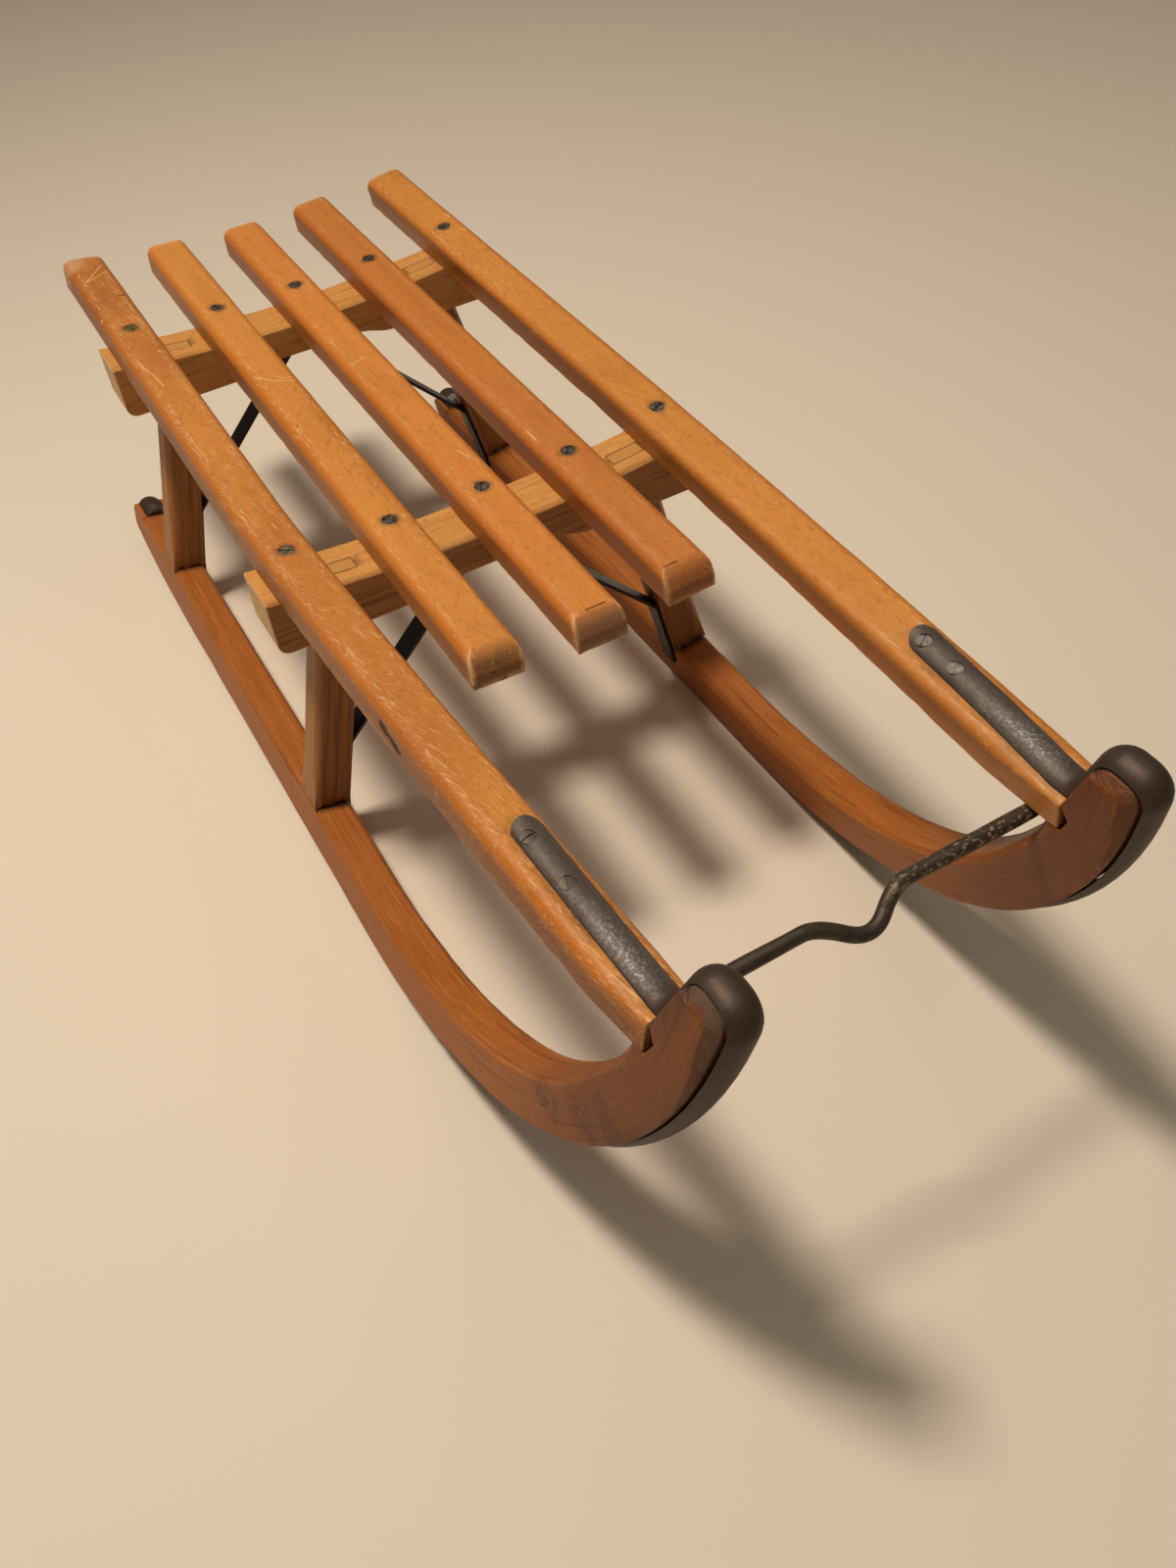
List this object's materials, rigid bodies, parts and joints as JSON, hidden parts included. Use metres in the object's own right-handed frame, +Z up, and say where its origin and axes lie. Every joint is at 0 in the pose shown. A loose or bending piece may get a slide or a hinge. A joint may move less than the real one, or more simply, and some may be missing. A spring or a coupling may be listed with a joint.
{
  "type": "wooden sled",
  "caption": "Wooden sled with curled iron-shod runners, splayed posts on two crossbars, a slatted seat, flat iron braces and a tow rod between the noses.",
  "frame": {"origin": "centre of the sled's box on the ground plane, under the seat", "axes": "+X forward towards the curled noses, +Y to the rider's left, +Z up"},
  "size_m": [1.0095, 0.3866, 0.3541],
  "materials": {
    "slat_wood": "varnished beech, honey orange, worn pale at the arrises",
    "runner_wood": "varnished beech, red-brown, scuffed",
    "post_wood": "varnished beech",
    "bar_wood": "varnished beech, top worn to bare wood",
    "shoe_iron": "dark rolled iron, rubbed grey on the crown",
    "brace_iron": "black flat iron",
    "rod_iron": "dark iron with traces of old paint"
  },
  "bodies": {
    "root": {"runner_left": "runner_wood", "runner_right": "runner_wood", "iron_shoe_left": "shoe_iron", "iron_shoe_right": "shoe_iron", "post_front_left": "post_wood", "post_front_right": "post_wood", "post_rear_left": "post_wood", "post_rear_right": "post_wood", "crossbar_front": "bar_wood", "crossbar_rear": "bar_wood", "slat_1": "slat_wood", "slat_2": "slat_wood", "slat_3": "slat_wood", "slat_4": "slat_wood", "slat_5": "slat_wood", "brace_front": "brace_iron", "brace_rear": "brace_iron", "tow_rod": "rod_iron"}
  },
  "joints": []
}
